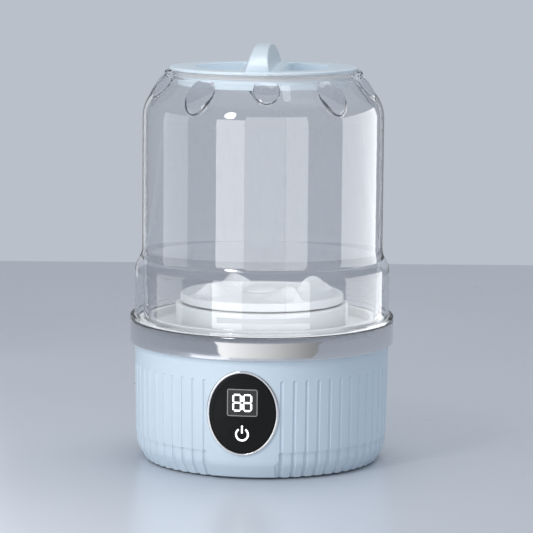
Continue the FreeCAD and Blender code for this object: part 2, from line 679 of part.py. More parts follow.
def board_chips():
    z = BOARD_Z + 1.6
    chips = [slab(34, 44, -16, -6, z, z + 1.6, 0.3), slab(48, 53, -16, -10, z, z + 1.4, 0.3),
             slab(47, 55, -4, 3, z, z + 3.2, 0.6), disc(3.2, z, z + 8.5, 38, 6), disc(2.5, z, z + 7.0, 45, 9),
             slab(33.5, 40.5, -29.5, -25, z, CONNECTOR_Z, 0.4)]
    chips += [slab(24.5, 29, y, y + 6, z, CONNECTOR_Z, 0.4) for y in (-19, -10, -1)]
    return group(chips)


def charge_board():
    board = slab(-9, 9, 52, 70.6, CHARGE_Z, CHARGE_Z + 1.2, 1.0)
    return board.cut([disc(1.0, CHARGE_Z - 1, CHARGE_Z + 3, x, y) for x, y in CHARGE_POSTS])


def board_screws():
    screws = [screw(x, y, BOARD_Z + 1.6, 2.1, 1.2, 0.85, 7.0, -1) for x, y in BOARD_POSTS]
    return group(screws + [screw(x, y, CHARGE_Z + 1.2, 1.8, 1.1, 0.85, 6.0, -1) for x, y in CHARGE_POSTS])


def usb_c_socket():
    way = Vector(0, 1, 0)
    low = CHARGE_Z + 1.2
    high = 2 * PORT_Z - low
    can = slab(-4.5, 4.5, 67.6, 75.0, low, high, 1.4, way)
    mouth = slab(-4.1, 4.1, 68.4, 76.0, low + 0.35, high - 0.35, 1.2, way)
    return joined(can.cut(mouth), block(-3.3, 3.3, 68.0, 74.4, PORT_Z - 0.35, PORT_Z + 0.35))


def port_flap():
    y, z = FLAP_HINGE
    plate = slab(-7.9, 7.9, 70, 85, PORT_Z - 4.6, z, 0.5, Vector(0, 1, 0))
    plate = plate.common(disc(78.7, 0, 50)).common(block(-10, 10, y - 0.7, 80, 10, 40))
    roll = Part.makeCylinder(0.68, 15.0, Vector(-7.5, y, z), Vector(1, 0, 0))
    plug = slab(-5.7, 5.7, 75.8, y - 0.4, PORT_Z - 2.4, PORT_Z + 3.1, 1.6, Vector(0, 1, 0))
    return joined(plate, roll, plug)


# ---------------------------------------------------------------- power: wire leads
def motor_leads():
    low = MOTOR_Z[0]
    first = [(5, 30, low), (5, 30, 15.5), (13, 21, 10), (17.5, 8, 12), (18, -1, 21), (22, -5.6, 27),
             (26.7, -6, 27.5), (26.7, -6, CONNECTOR_Z)]
    second = [(-5, 30, low), (-5, 30, 14.5), (4, 17, 8.5), (15, 5, 11.5), (16.5, -3, 21), (21, -8.1, 27.5),
              (26.7, -8.4, 28.5), (26.7, -8.4, CONNECTOR_Z)]
    return group([lead(first, 0.75), lead(second, 0.75)])


def battery_leads():
    top = CELL_Z[1] + 0.3
    first = [(-46.8, -15, top), (-46.8, -15, 75.5), (-40, -24, 74.5), (-36, -27, 64), (-33, -28, 50),
             (-27, -27, 35), (-14, -25, 26), (2, -23, 24), (16, -18, 27), (26.7, -14.8, 28),
             (26.7, -14.8, CONNECTOR_Z)]
    second = [(-50.6, -15, top), (-50.6, -15, 77), (-42.5, -27.5, 76), (-39, -31, 64), (-36, -32, 49),
              (-29, -31, 33), (-15, -29, 23.5), (2, -26.6, 21.5), (16.5, -21.5, 25.5), (26.7, -17.6, 28.5),
              (26.7, -17.6, CONNECTOR_Z)]
    return group([lead(first, 0.8), lead(second, 0.8)])


def charge_leads():
    top = CHARGE_Z + 1.2
    first = [(2, 53.5, top), (2, 53.5, 25), (10, 50, 27), (19, 41, 24), (24, 29, 20.5), (26, 18, 22.5),
             (27.4, 9, 27.5), (26.8, 3.4, 28), (26.8, 3.4, CONNECTOR_Z)]
    second = [(-2, 53.5, top), (-2, 53.5, 27), (8, 51.5, 30), (20, 43, 27), (26.5, 30, 23.5), (28.6, 18, 26),
              (29.8, 8, 31), (26.8, 1, 31.5), (26.8, 1, CONNECTOR_Z)]
    return group([lead(first, 0.75), lead(second, 0.75)])


# ---------------------------------------------------------------- lid
def grip_arch(half_length, half_top, half_low, z0, crown):
    """A half-ellipse from front to back above the rim, whose sides flare towards the rim."""
    z1 = LID_Z[1]
    front, back = Vector(0, half_length, z1), Vector(0, -half_length, z1)
    ellipse = Part.Ellipse(front, Vector(0, 0, crown), Vector(0, 0, z1))
    corners = [back, Vector(0, -half_length, z0), Vector(0, half_length, z0), front]
    sides = [Part.LineSegment(a, b).toShape() for a, b in zip(corners, corners[1:])]
    face = Part.Face(Part.Wire([Part.ArcOfEllipse(ellipse, 0, math.pi).toShape()] + sides))
    face.translate(Vector(-20, 0, 0))
    wedge = Part.Face(rounded_wire([
        (-half_low, z0), (half_low, z0), (half_low, z1), (half_top, crown), (-half_top, crown), (-half_low, z1)]))
    wedge = front_prism(wedge, -half_length - 5, half_length + 5)
    return face.extrude(Vector(40, 0, 0)).common(wedge)


def lid():
    low, high = LID_Z
    cup_r, floor_z = RECESS_R + 2.4, RECESS_Z - 2.2
    body = turned([
        (0, floor_z), (cup_r, floor_z, 1.0), (cup_r, low, 0.8), (PLUG_R[0], low, 0.8), (PLUG_R[0], PLUG_Z, 0.5),
        (PLUG_R[1], PLUG_Z, 0.5), (PLUG_R[1], low, 0.2), (LID_R, low, 0.5), (LID_R, high, 0.9), (0, high)])
    recess = turned([
        (0, RECESS_Z), (RECESS_R, RECESS_Z, 2.0), (RECESS_R + 0.4, high, 0.5), (RECESS_R + 4, high),
        (RECESS_R + 4, high + 3), (0, high + 3)])
    land = slab(-LAND_HALF, LAND_HALF, -60, 60, floor_z, high, 1.0, Vector(0, 1, 0))
    grip = grip_arch(GRIP_HALF, 4.75, 7.4, low + 0.5, GRIP_TOP_Z)
    hollow = grip_arch(RECESS_R - 0.4, 2.7, 5.2, floor_z - 2, GRIP_TOP_Z - 2.6)
    pointer = slab(-1.8, 1.8, -LID_R - 0.9, -LID_R + 2, low, high - 0.5, 0.8)
    top = joined(body.cut(recess.cut(land)), grip).cut(hollow)
    return joined(turn(top, LID_TURN), turn(pointer, DROP_TURN))


def lid_plate():
    outer, high = PLUG_R[0] - 0.2, RECESS_Z - 2.5
    return turned([(0, PLUG_Z), (outer, PLUG_Z, 0.5), (outer, high, 0.4), (0, high)])


def lid_seal():
    inner, outer, low = PLUG_R[1] + 0.3, MOUTH_R[0] - 0.3, MOUTH_Z[1] + FIT
    return turned([
        (inner, MOUTH_Z[0] + 0.5, 0.2), (outer, MOUTH_Z[0] + 0.5, 0.3), (outer, low), (LID_R - 1.2, low, 0.2),
        (LID_R - 1.2, LID_Z[0] - FIT, 0.2), (inner, LID_Z[0] - FIT)])


# ---------------------------------------------------------------- every node, named after its function
NODES = (
    base_shell, bottom_cover, rubber_feet, cover_screws, trim_ring,
    tub_floor, tub_screws, barrel, barrel_gasket, barrel_seal, shaft_seal,
    gear_case, gear_cover, case_screws, lower_bush, upper_bush, drive_shaft, drive_gear, shaft_circlip,
    motor_can, motor_end_cap, motor_magnets, motor_shaft, motor_armature, motor_pinion, motor_screws,
    pulsator, pulsator_screw, pulsator_cap,
    panel_glass, panel_bezel, display_board, display_screws, led_display, touch_spring, display_leads,
    battery_cells, battery_holder, battery_tabs, main_board, board_chips, board_screws,
    charge_board, usb_c_socket, port_flap, motor_leads, battery_leads, charge_leads,
    lid, lid_plate, lid_seal)

os.makedirs("parts", exist_ok=True)
for build in NODES:
    shape = build()
    shape.exportStep("parts/%s.step" % build.__name__)
    print("%-16s %2d solids %10.1f mm3" % (build.__name__, len(shape.Solids), shape.Volume))
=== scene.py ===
"""Looks of the portable mini washer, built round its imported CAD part."""
import json
import math

import bpy
import numpy as np
from mathutils import Matrix, Vector

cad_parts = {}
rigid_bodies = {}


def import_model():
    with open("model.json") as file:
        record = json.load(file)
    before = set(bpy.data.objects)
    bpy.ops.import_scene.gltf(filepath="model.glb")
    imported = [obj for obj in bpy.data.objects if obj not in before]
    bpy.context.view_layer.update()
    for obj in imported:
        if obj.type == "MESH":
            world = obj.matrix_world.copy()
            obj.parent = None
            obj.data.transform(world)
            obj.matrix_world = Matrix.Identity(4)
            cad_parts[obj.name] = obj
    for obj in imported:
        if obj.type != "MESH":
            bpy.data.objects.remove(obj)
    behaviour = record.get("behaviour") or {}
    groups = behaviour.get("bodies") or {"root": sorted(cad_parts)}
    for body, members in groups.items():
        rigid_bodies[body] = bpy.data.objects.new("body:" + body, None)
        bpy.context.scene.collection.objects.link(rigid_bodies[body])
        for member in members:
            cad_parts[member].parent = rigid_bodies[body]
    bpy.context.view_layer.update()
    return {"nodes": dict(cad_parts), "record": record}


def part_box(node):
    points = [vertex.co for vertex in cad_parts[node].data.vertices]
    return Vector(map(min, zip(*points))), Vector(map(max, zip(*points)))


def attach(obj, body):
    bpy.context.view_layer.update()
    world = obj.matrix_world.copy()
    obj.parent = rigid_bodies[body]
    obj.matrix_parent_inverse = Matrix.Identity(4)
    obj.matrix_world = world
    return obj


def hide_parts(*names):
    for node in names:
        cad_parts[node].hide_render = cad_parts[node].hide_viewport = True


MM = 0.001
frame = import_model()


# ---------------------------------------------------------------- geometry helpers
def top_of(node):
    """Height of a CAD node's top, in millimetres."""
    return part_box(node)[1].z / MM


def bottom_of(node):
    """Height of a CAD node's underside, in millimetres."""
    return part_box(node)[0].z / MM


def outline(corners, step=0.6, gap=6.0):
    """A closed outline with rounded corners.  Each corner is (radius, height), with or without a fillet.

    Rounded corners take a point about every step, and straight runs one at least every gap.
    """
    count = len(corners)
    points = []
    for i, corner in enumerate(corners):
        here = Vector(corner[:2])
        if len(corner) == 2:
            points.append(here)
            continue
        back = (Vector(corners[i - 1][:2]) - here).normalized()
        ahead = (Vector(corners[(i + 1) % count][:2]) - here).normalized()
        half = back.angle(ahead) / 2
        reach = corner[2] / math.tan(half)
        centre = here + (back + ahead).normalized() * (corner[2] / math.sin(half))
        first = here + back * reach - centre
        sweep = math.copysign(math.pi - 2 * half, ahead.cross(back))
        steps = max(4, math.ceil(corner[2] * abs(sweep) / step))
        for k in range(steps + 1):
            points.append(centre + Matrix.Rotation(sweep * k / steps, 2) @ first)
    filled = []
    for i, here in enumerate(points):
        following = points[(i + 1) % len(points)]
        runs = max(1, math.ceil((following - here).length / gap))
        for k in range(runs):
            filled.append(here.lerp(following, k / runs))
    return np.array([tuple(p) for p in filled])


def normals_of(points):
    """Outward normals of a closed outline that runs anticlockwise."""
    along = np.roll(points, -1, 0) - np.roll(points, 1, 0)
    along /= np.linalg.norm(along, axis=1)[:, None]
    return np.stack([along[:, 1], -along[:, 0]], 1)


def add_mesh(name, verts, faces, body, slot, sharp=35.0, finish=None):
    """A smooth-shaded mesh piece, with its vertices given in millimetres.

    Edges that bend by more than sharp degrees stay sharp.  The finish is the slot's own when none is given.
    """
    mesh = bpy.data.meshes.new(name)
    mesh.from_pydata((np.asarray(verts, float) * MM).tolist(), [], faces)
    mesh.validate()
    mesh.update()
    mesh.shade_smooth()
    mesh.set_sharp_from_angle(angle=math.radians(sharp))
    mesh.materials.append(finish or FINISHES[slot])
    piece = bpy.data.objects.new(name, mesh)
    bpy.context.scene.collection.objects.link(piece)
    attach(piece, body)
    return piece


def loop_faces(rows, columns, close_rows=True):
    """Quads between rows of a grid whose columns close on themselves."""
    faces = []
    for i in range(rows if close_rows else rows - 1):
        here, above = i * columns, ((i + 1) % rows) * columns
        for j in range(columns):
            after = (j + 1) % columns
            faces.append((here + j, here + after, above + after, above + j))
    return faces


def spun(points, columns):
    """The outline's points turned about the main axis, as rows of vertices.  Angles start at the front."""
    turn = np.linspace(0, 2 * math.pi, columns, endpoint=False)
    radius, height = points[:, 0][:, None], points[:, 1][:, None]
    return np.stack([radius * np.sin(turn), -radius * np.cos(turn), height + 0 * turn], 2)


def add_ring(name, rows, body, slot, sharp=35.0):
    """A piece made of rows of vertices that close on themselves both along and across the rows."""
    levels, columns = rows.shape[:2]
    return add_mesh(name, rows.reshape(-1, 3), loop_faces(levels, columns), body, slot, sharp)


def smooth_max(values, soft):
    """Values where they are positive, zero elsewhere, with a soft corner between the two."""
    share = np.clip(0.5 + 0.5 * values / soft, 0, 1)
    return values * share + soft * share * (1 - share)


# ---------------------------------------------------------------- materials
def node_finish(name, colour, rough, spread=0.03, cloud=25.0, grain=900.0, bump=0.01, sway=0.05, **fixed):
    """A surface whose colour, roughness and fine grain vary.

    The spread is the colour's share of change, the sway is the roughness's change, cloud and grain are the
    scales of the two noises, and bump is the strength of the grain.  Other names are shader inputs.
    """
    mat = bpy.data.materials.new(name)
    mat.use_nodes = True
    tree = mat.node_tree
    shader = tree.nodes["Principled BSDF"]
    place = tree.nodes.new("ShaderNodeTexCoord")
    clouds = tree.nodes.new("ShaderNodeTexNoise")
    clouds.inputs["Scale"].default_value = cloud
    clouds.inputs["Detail"].default_value = 4.0
    tree.links.new(place.outputs["Object"], clouds.inputs["Vector"])
    tones = tree.nodes.new("ShaderNodeValToRGB")
    tones.color_ramp.elements[0].position = 0.3
    tones.color_ramp.elements[1].position = 0.7
    tones.color_ramp.elements[0].color = (*[c * (1 - spread) for c in colour], 1)
    tones.color_ramp.elements[1].color = (*[min(1.0, c * (1 + spread)) for c in colour], 1)
    tree.links.new(clouds.outputs["Fac"], tones.inputs["Fac"])
    tree.links.new(tones.outputs["Color"], shader.inputs["Base Color"])
    gloss = tree.nodes.new("ShaderNodeMapRange")
    gloss.inputs["To Min"].default_value = max(0.0, rough - sway)
    gloss.inputs["To Max"].default_value = rough + sway
    tree.links.new(clouds.outputs["Fac"], gloss.inputs["Value"])
    tree.links.new(gloss.outputs["Result"], shader.inputs["Roughness"])
    fine = tree.nodes.new("ShaderNodeTexNoise")
    fine.inputs["Scale"].default_value = grain
    fine.inputs["Detail"].default_value = 3.0
    tree.links.new(place.outputs["Object"], fine.inputs["Vector"])
    relief = tree.nodes.new("ShaderNodeBump")
    relief.inputs["Strength"].default_value = bump
    relief.inputs["Distance"].default_value = 0.0004
    tree.links.new(fine.outputs["Fac"], relief.inputs["Height"])
    tree.links.new(relief.outputs["Normal"], shader.inputs["Normal"])
    for socket, value in fixed.items():
        shader.inputs[socket.replace("_", " ")].default_value = value
    return mat


def clear_finish(name, colour, rough, index, **fixed):
    """Clear plastic that bends the view through it and lets lamplight pass."""
    mat = node_finish(
        name, colour, rough, spread=0.004, cloud=18.0, grain=60.0, bump=0.0008, sway=0.006,
        Transmission_Weight=1.0, IOR=index, **fixed)
    tree = mat.node_tree
    shader = tree.nodes["Principled BSDF"]
    out = tree.nodes["Material Output"]
    passing = tree.nodes.new("ShaderNodeBsdfTransparent")
    passing.inputs["Color"].default_value = (0.96, 0.97, 0.975, 1)
    path = tree.nodes.new("ShaderNodeLightPath")
    mix = tree.nodes.new("ShaderNodeMixShader")
    tree.links.new(path.outputs["Is Shadow Ray"], mix.inputs["Fac"])
    tree.links.new(shader.outputs["BSDF"], mix.inputs[1])
    tree.links.new(passing.outputs["BSDF"], mix.inputs[2])
    tree.links.new(mix.outputs["Shader"], out.inputs["Surface"])
    return mat


PLASTIC_IOR = 1.5
THIN_WALL_IOR = 1.04  # low, so that the wall does not narrow the view of what is inside

# How each finish looks, apart from the clear ones
SOLID_LOOKS = {
    "blue_shell": dict(colour=(0.645, 0.745, 0.82), rough=0.34, spread=0.012, bump=0.03, IOR=PLASTIC_IOR),
    "blue_lid": dict(colour=(0.70, 0.785, 0.84), rough=0.30, spread=0.012, bump=0.02, IOR=PLASTIC_IOR),
    "silver_ring": dict(
        colour=(0.74, 0.745, 0.76), rough=0.07, spread=0.02, bump=0.004, sway=0.02, Metallic=1.0),
    "white_plastic": dict(colour=(0.58, 0.585, 0.59), rough=0.32, spread=0.012, bump=0.02),
    "bezel_chrome": dict(colour=(0.88, 0.88, 0.89), rough=0.16, spread=0.02, bump=0.01, Metallic=1.0),
    "panel_black": dict(
        colour=(0.009, 0.009, 0.0093), rough=0.28, spread=0.1, bump=0.004, Specular_IOR_Level=0.14),
    "white_silicone": dict(colour=(0.74, 0.75, 0.76), rough=0.55, spread=0.03, bump=0.06),
    "blue_silicone": dict(colour=(0.52, 0.66, 0.76), rough=0.55, spread=0.03, bump=0.06),
    "grey_rubber": dict(colour=(0.19, 0.20, 0.21), rough=0.75, spread=0.08, bump=0.15),
    "steel": dict(colour=(0.56, 0.56, 0.57), rough=0.28, spread=0.06, bump=0.05, Metallic=1.0),
    "motor_steel": dict(colour=(0.50, 0.50, 0.50), rough=0.38, spread=0.06, bump=0.08, Metallic=1.0),
    "bronze": dict(colour=(0.52, 0.36, 0.19), rough=0.42, spread=0.10, bump=0.2, Metallic=1.0),
    "gear_plastic": dict(colour=(0.72, 0.70, 0.64), rough=0.42, spread=0.03, bump=0.04),
    "case_plastic": dict(colour=(0.09, 0.095, 0.10), rough=0.50, spread=0.08, bump=0.12),
    "magnet": dict(colour=(0.07, 0.068, 0.066), rough=0.60, spread=0.12, bump=0.3),
    "copper": dict(colour=(0.62, 0.27, 0.13), rough=0.32, spread=0.10, bump=0.2, Metallic=1.0),
    "board_green": dict(colour=(0.02, 0.16, 0.07), rough=0.35, spread=0.12, bump=0.05, Coat_Weight=0.3),
    "chip_black": dict(colour=(0.025, 0.025, 0.027), rough=0.50, spread=0.12, bump=0.15),
    "display_black": dict(colour=(0.03, 0.03, 0.032), rough=0.40, spread=0.10, bump=0.05),
    "cell_wrap": dict(colour=(0.09, 0.28, 0.42), rough=0.30, spread=0.05, bump=0.05, Coat_Weight=0.3),
    "nickel": dict(colour=(0.58, 0.56, 0.52), rough=0.30, spread=0.06, bump=0.08, Metallic=1.0),
    "lead_red": dict(colour=(0.52, 0.03, 0.03), rough=0.42, spread=0.06, bump=0.05),
    "lead_grey": dict(colour=(0.20, 0.20, 0.21), rough=0.45, spread=0.06, bump=0.05),
}
FINISHES = {name: node_finish(name, **look) for name, look in SOLID_LOOKS.items()}
FINISHES["clear_plastic"] = clear_finish(
    "clear_plastic", (0.915, 0.918, 0.925), 0.012, THIN_WALL_IOR,
    Coat_Weight=1.0, Coat_IOR=1.55, Coat_Roughness=0.01)
CLEAR = {
    "clear_drops": clear_finish("clear_drops", (0.99, 0.99, 0.99), 0.01, PLASTIC_IOR),
    # The drops' rims take a near-black tint: painted shade for the dark outlines that bent light gives the
    # clear drops
    "painted_shade_rims": clear_finish("painted_shade_rims", (0.06, 0.066, 0.077), 0.01, PLASTIC_IOR),
    "clear_skirt": clear_finish("clear_skirt", (0.955, 0.957, 0.962), 0.012, THIN_WALL_IOR),
}
LIT = node_finish(
    "lit_white", (0.92, 0.93, 0.95), 0.4, 0.01, bump=0.01,
    Emission_Color=(0.95, 0.97, 1.0, 1), Emission_Strength=0.75)
FRAME_GREY = node_finish("frame_grey", (0.11, 0.11, 0.112), 0.35, 0.03, bump=0.01)
WINDOW_GREY = node_finish(
    "window_grey", (0.017, 0.017, 0.018), 0.4, 0.05, bump=0.01, Specular_IOR_Level=0.14)

for part in frame["record"]["subparts"]:
    node = frame["nodes"][part["node"]]
    node.data.materials.clear()
    node.data.materials.append(FINISHES[part["material_slot"]])


# ---------------------------------------------------------------- barrel
DROP_COUNT = 10
DROP_TURN = 9.8  # degrees from the front to the first drop
DROP_SOFTNESS = 0.28
# The two kinds of drop, in millimetres and degrees: half sizes, tilt, and where the centre sits
SMALL_DROP = {"half": (8.2, 3.2, 10.4), "tilt": 40.6, "radius": 64.4, "below_top": 8.5}
LARGE_DROP = {"half": (10.0, 3.4, 13.0), "tilt": 33.0, "radius": 67.5, "below_top": 12.7}
NO_REACH = -9.0  # for a normal that misses a drop

SHOULDER_DEPTH = 32.0
LIP_DEPTH = 2.9
SHOULDER_STEP = 0.4
# Which finish a face of the barrel takes, in the order of the mesh's materials
WALL, DROP, PAINTED_RIM_SHADE, QUIET = range(4)
# Each drop's rim band, between these heights, is tinted dark as painted shade along the drop's outline
PAINTED_SHADE_LIFTS = (0.1, 1.15)  # a drop's rim lies between these heights above the shoulder


def drop_height(points, outward):
    """How far the raised drops stand proud of the shoulder along its outward normals."""
    height = np.zeros(points.shape[:2])
    top = top_of("barrel")
    up = np.array([0.0, 0.0, 1.0])
    for i in range(DROP_COUNT):
        drop = LARGE_DROP if i % 2 else SMALL_DROP
        half = np.array(drop["half"])
        tilt = math.radians(drop["tilt"])
        angle = math.radians(DROP_TURN + 360 / DROP_COUNT * i)
        across = np.array([math.cos(angle), math.sin(angle), 0.0])
        ahead = np.array([-math.sin(angle), math.cos(angle), 0.0])
        axes = np.stack([
            across,
            ahead * math.cos(tilt) - up * math.sin(tilt),
            ahead * math.sin(tilt) + up * math.cos(tilt)])
        centre = -ahead * drop["radius"] + up * (top - drop["below_top"])
        # The distance along the normal to the ellipsoid's far side is the larger root of a quadratic
        start = (points - centre) @ axes.T / half
        way = outward @ axes.T / half
        a = (way ** 2).sum(2)
        b = (start * way).sum(2)
        c = (start ** 2).sum(2) - 1
        inside = b * b - a * c
        reach = np.where(inside > 0, (-b + np.sqrt(np.maximum(inside, 0))) / a, NO_REACH)
        height = np.maximum(height, smooth_max(reach, DROP_SOFTNESS))
    return height


def barrel_line(top, flange, foot):
    """The barrel's closed section, which runs up its outside and down its inside."""
    flange_out, skirt_out, wall_out, spigot_out = 82.5, 79.5, 75.0, 73.8
    wall_in, groove_in, spigot_in = 72.4, 72.1, 71.2
    lip_out, lip_in = 61.4, 54.5
    waist = top - 113.3
    outside = [
        (flange_out, flange, 0.4), (flange_out, flange + 3.2, 1.0), (skirt_out, flange + 3.2, 2.4),
        (skirt_out, top - 121.8, 14.0), (wall_out, waist, 14.0), (wall_out, top - 20.2, 24.0)]
    lip = [
        (60.6, top - 3.4, 0.6), (lip_out, top - 2.8, 0.4), (lip_out, top, 1.2),
        (lip_in, top, 0.8), (lip_in, top - 3.2, 0.6), (57.5, top - 4.4, 1.0)]
    inside = [
        (wall_in, top - 21.3, 21.4), (wall_in, waist, 60.0),
        (spigot_in, flange - 1), (spigot_in, foot + 4.2)]
    groove = [(groove_in, foot + 4.2), (groove_in, foot + 2.0), (spigot_in, foot + 2.0)]
    spigot = [(spigot_in, foot, 0.6), (spigot_out, foot, 0.6), (spigot_out, flange - 1)]
    skirt_gap = [
        (74.85, top - 116.6, 0.1), (75.15, top - 116.4, 0.1), (78.2, top - 122.1, 12.7), (77.6, flange)]
    return outline(outside + lip + inside + groove + spigot + skirt_gap, step=0.35, gap=4.0)


def refined(line, top):
    """The barrel's section with extra points on the outer shoulder, where the drops rise."""
    mouth = np.argmax(line[:, 1])
    profile = []
    for i, here in enumerate(line):
        following = line[(i + 1) % len(line)]
        length = np.linalg.norm(following - here)
        on_shoulder = i < mouth and here[1] > top - SHOULDER_DEPTH
        runs = math.ceil(length / SHOULDER_STEP) if on_shoulder else 1
        profile += [here + (following - here) * k / runs for k in range(runs)]
    return np.array(profile)


def build_barrel():
    """The clear barrel: spigot, flange and flared skirt, wall, shoulder with drops, and mouth lip."""
    top = top_of("barrel")
    flange = top_of("trim_ring")
    profile = refined(barrel_line(top, flange, bottom_of("barrel")), top)
    columns = 1080
    rows = spun(profile, columns)
    outward = spun(normals_of(profile), columns)
    radius, height = profile[:, 0], profile[:, 1]
    outer_side = np.arange(len(profile)) < np.argmax(height)
    shoulder = outer_side & (height > top - SHOULDER_DEPTH) & (height < top - LIP_DEPTH)
    lift = np.zeros(rows.shape[:2])
    lift[shoulder] = drop_height(rows[shoulder], outward[shoulder])
    rows[shoulder] += outward[shoulder] * lift[shoulder][:, :, None]
    piece = add_ring("barrel_shell", rows, "base", "clear_plastic", 50.0)
    # The faces of the skirt's gap and of the mouth lip reflect less than the wall
    skirt_gap = (height < top - 116) & (height > flange - 0.5) & (radius > 73.5) & (radius < 79.0)
    quiet = skirt_gap | (height > top - 4.6)
    # Faces on a drop's rim band take the near-black tint of painted shade
    low, high = PAINTED_SHADE_LIFTS
    kind = np.where(lift > low, np.where(lift < high, PAINTED_RIM_SHADE, DROP), WALL)
    kind = np.where(quiet[:, None], QUIET, kind).reshape(-1)
    for finish in ("clear_drops", "painted_shade_rims", "clear_skirt"):
        piece.data.materials.append(CLEAR[finish])
    for face in piece.data.polygons:
        face.material_index = int(min(kind[k] for k in face.vertices))
    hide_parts("barrel")
    return piece


# ---------------------------------------------------------------- pulsator
FIN_COUNT = 4
FIN_TURN = 306  # degrees from the disc's right-hand side to the first fin
FIN_LEAN = 20  # degrees between a fin and the disc's radius
FIN_MIDDLE = 33.0  # distance of a fin's middle from the disc's
FIN_HEIGHT = 9.0
FIN_BEND = 0.016  # how strongly a fin sweeps sideways towards its ends
FIN_PEAK = 4  # how far outside its middle a fin is highest
FIN_ENDS = (21.0, 13.0)  # reach of a fin from its peak, inwards and outwards
FIN_FLANKS = (9.0, 5.5)  # half widths of a fin, behind and ahead of its crest


def fin_swell(x, y):
    """How far the swept fins swell out of the disc."""
    swell = np.zeros(x.shape)
    lean = math.radians(FIN_LEAN)
    for i in range(FIN_COUNT):
        angle = math.radians(FIN_TURN + 360 / FIN_COUNT * i)
        across_x, across_y = math.cos(angle), math.sin(angle)
        out = x * across_x + y * across_y - FIN_MIDDLE
        side = -x * across_y + y * across_x
        along = out * math.cos(lean) + side * math.sin(lean)
        off = -out * math.sin(lean) + side * math.cos(lean) + FIN_BEND * along ** 2
        past_peak = along - FIN_PEAK
        reach = np.where(along < FIN_PEAK, past_peak / FIN_ENDS[0], past_peak / FIN_ENDS[1])
        crest = np.cos(np.clip(reach, -1, 1) * math.pi / 2) ** 1.2
        slope = np.clip(np.abs(off) / np.where(off < 0, *FIN_FLANKS), 0, 1)
        blade = (1 - np.sqrt(slope ** 2 + 0.003)).clip(0, 1) ** 1.15 / 0.937
        swell = np.maximum(swell, FIN_HEIGHT * crest * blade)
    distance = np.hypot(x, y)
    edge_fade, hub_fade = 49.2 - distance, distance - 12.0
    fade = np.clip(edge_fade / 3.0, 0, 1) * np.clip(hub_fade / 3.0, 0, 1)
    return swell * fade * fade * (3 - 2 * fade)


def pulsator_sides(low, rim):
    """The disc's section: its top side from edge to hub, and its hollow underside from hub to edge."""
    edge = [
        (51.0, rim - 1.4), (50.6, rim - 0.4), (49.6, rim),
        (47.6, rim), (46.2, rim - 0.5), (44.5, rim - 1.2)]
    dish = list(zip(np.linspace(44.0, 14.5, 62), np.linspace(rim - 1.2, rim - 0.6, 62)))
    hub = [(13.6, rim - 0.55), (12.6, rim - 0.2), (11.8, rim + 0.3)]
    hub += [(radius, rim + 0.5) for radius in (11.2, 9.0, 6.0, 2.0)]
    under = [
        (2.0, low), (13.0, low), (13.0, low + 2.6), (48.6, low + 2.6),
        (48.6, low), (50.5, low), (51.0, low + 0.5)]
    return edge + dish + hub, under


def build_pulsator():
    """The pulsator's disc with four swept fins that swell out of it."""
    low = bottom_of("pulsator")
    upper_side, under_side = pulsator_sides(low, low + 5.4)
    rows = spun(np.array(upper_side + under_side), 480)
    above = rows[:len(upper_side)]
    above[:, :, 2] += fin_swell(above[:, :, 0], above[:, :, 1])
    piece = add_ring("pulsator_disc", rows, "impeller", "white_plastic", 40.0)
    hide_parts("pulsator")
    return piece


# ---------------------------------------------------------------- lid
GRIP_TURN = 4.0  # degrees from the front to the grip's end
TAB_TURN = 9.8  # degrees from the front to the pointer tab


def build_grip(crown, rim, floor):
    """The arched grip: a half-ellipse from front to back whose sides flare down to the recess floor."""
    length, half_top, half_low, edge = 52.0, 4.75, 7.4, 1.3
    arches, section, side_steps = 97, 5, 6
    rows = []
    for i in range(arches):
        t = math.pi * i / (arches - 1)
        y, z = -length * math.cos(t), rim + (crown - rim) * math.sin(t)
        normal = Vector((0.0, -math.cos(t) / length, math.sin(t) / (crown - rim))).normalized()
        share = (z - rim) / (crown - rim)
        half = half_low + (half_top - half_low) * share
        base = Vector((0.0, y, z))
        right = []
        for k in range(section):
            angle = math.pi / 2 * k / (section - 1)
            inward = edge * (1 - math.cos(angle))
            right.append(base - normal * inward + Vector((half - edge + edge * math.sin(angle), 0, 0)))
        right[0].x = half - edge
        start = right[-1]
        foot = Vector((half_low, start.y, floor))
        side = []
        for k in range(1, side_steps + 1):
            p = start.lerp(foot, k / side_steps)
            p.x = half_low if p.z < rim else half_low + (half_top - half_low) * (p.z - rim) / (crown - rim)
            side.append(p)
        half_row = right + side
        left = [Vector((-p.x, p.y, p.z)) for p in reversed(half_row)]
        rows.append(left + half_row)
    spin = Matrix.Rotation(math.radians(GRIP_TURN), 3, "Z")
    verts = [tuple(spin @ p) for row in rows for p in row]
    return verts, capped(arches, len(rows[0]))


def combine(piece, other, operation):
    """Joins a second closed mesh to the piece as one solid, or cuts it away."""
    change = piece.modifiers.new("combine", "BOOLEAN")
    change.operation = operation
    change.solver = "EXACT"
    change.object = other
    depsgraph = bpy.context.evaluated_depsgraph_get()
    mesh = bpy.data.meshes.new_from_object(piece.evaluated_get(depsgraph))
    piece.modifiers.clear()
    piece.data = mesh
    bpy.data.objects.remove(other)


def capped(levels, count):
    """Faces of a stack of closed loops, with a cap at each end."""
    faces = loop_faces(levels, count, close_rows=False)
    faces.append(tuple(reversed(range(count))))
    faces.append(tuple((levels - 1) * count + j for j in range(count)))
    return faces


